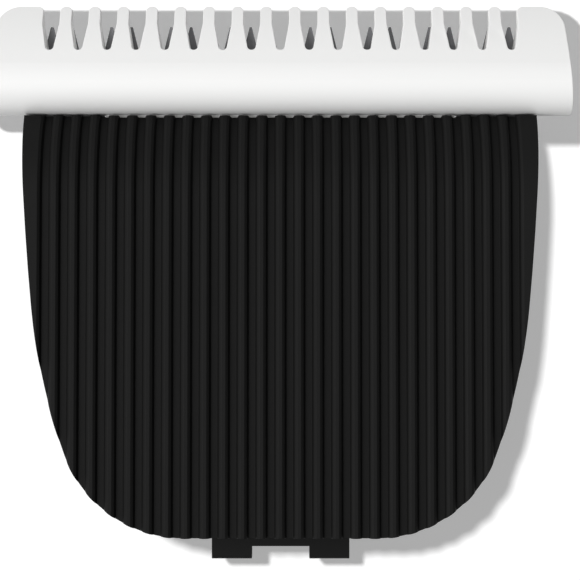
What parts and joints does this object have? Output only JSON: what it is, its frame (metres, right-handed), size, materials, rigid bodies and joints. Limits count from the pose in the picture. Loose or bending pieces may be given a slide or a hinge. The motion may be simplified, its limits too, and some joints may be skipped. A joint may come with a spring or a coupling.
{
  "type": "trimmer blade head",
  "caption": "Clip-on hair trimmer head: a white ceramic comb over a sliding steel cutter, in a ribbed black cover with hook prongs at its lower edge.",
  "frame": {"origin": "under the middle of the part, in the plane of the back rim that it lies on", "axes": "+X across the teeth, +Y towards the tooth tips, +Z out of the ribbed front"},
  "size_m": [0.0406, 0.039, 0.0112],
  "materials": {
    "cover_plastic": "fine matt moulded black",
    "comb_ceramic": "satin white ground ceramic",
    "cutter_steel": "ground dark steel",
    "yoke_plastic": "natural acetal",
    "frame_plastic": "matt moulded black",
    "spring_steel": "drawn spring wire",
    "screw_steel": "bright plated"
  },
  "bodies": {
    "head": {"front_cover": "cover_plastic", "fixed_blade": "comb_ceramic", "blade_frame": "frame_plastic", "tension_spring": "spring_steel", "frame_screws": "screw_steel"},
    "cutter": {"cutter_blade": "cutter_steel", "drive_yoke": "yoke_plastic"}
  },
  "joints": [
    {"name": "cutter_slide", "type": "slide", "parent": "head", "child": "cutter", "axis": [1, 0, 0], "range_m": [-0.0012, 0.0012]}
  ]
}
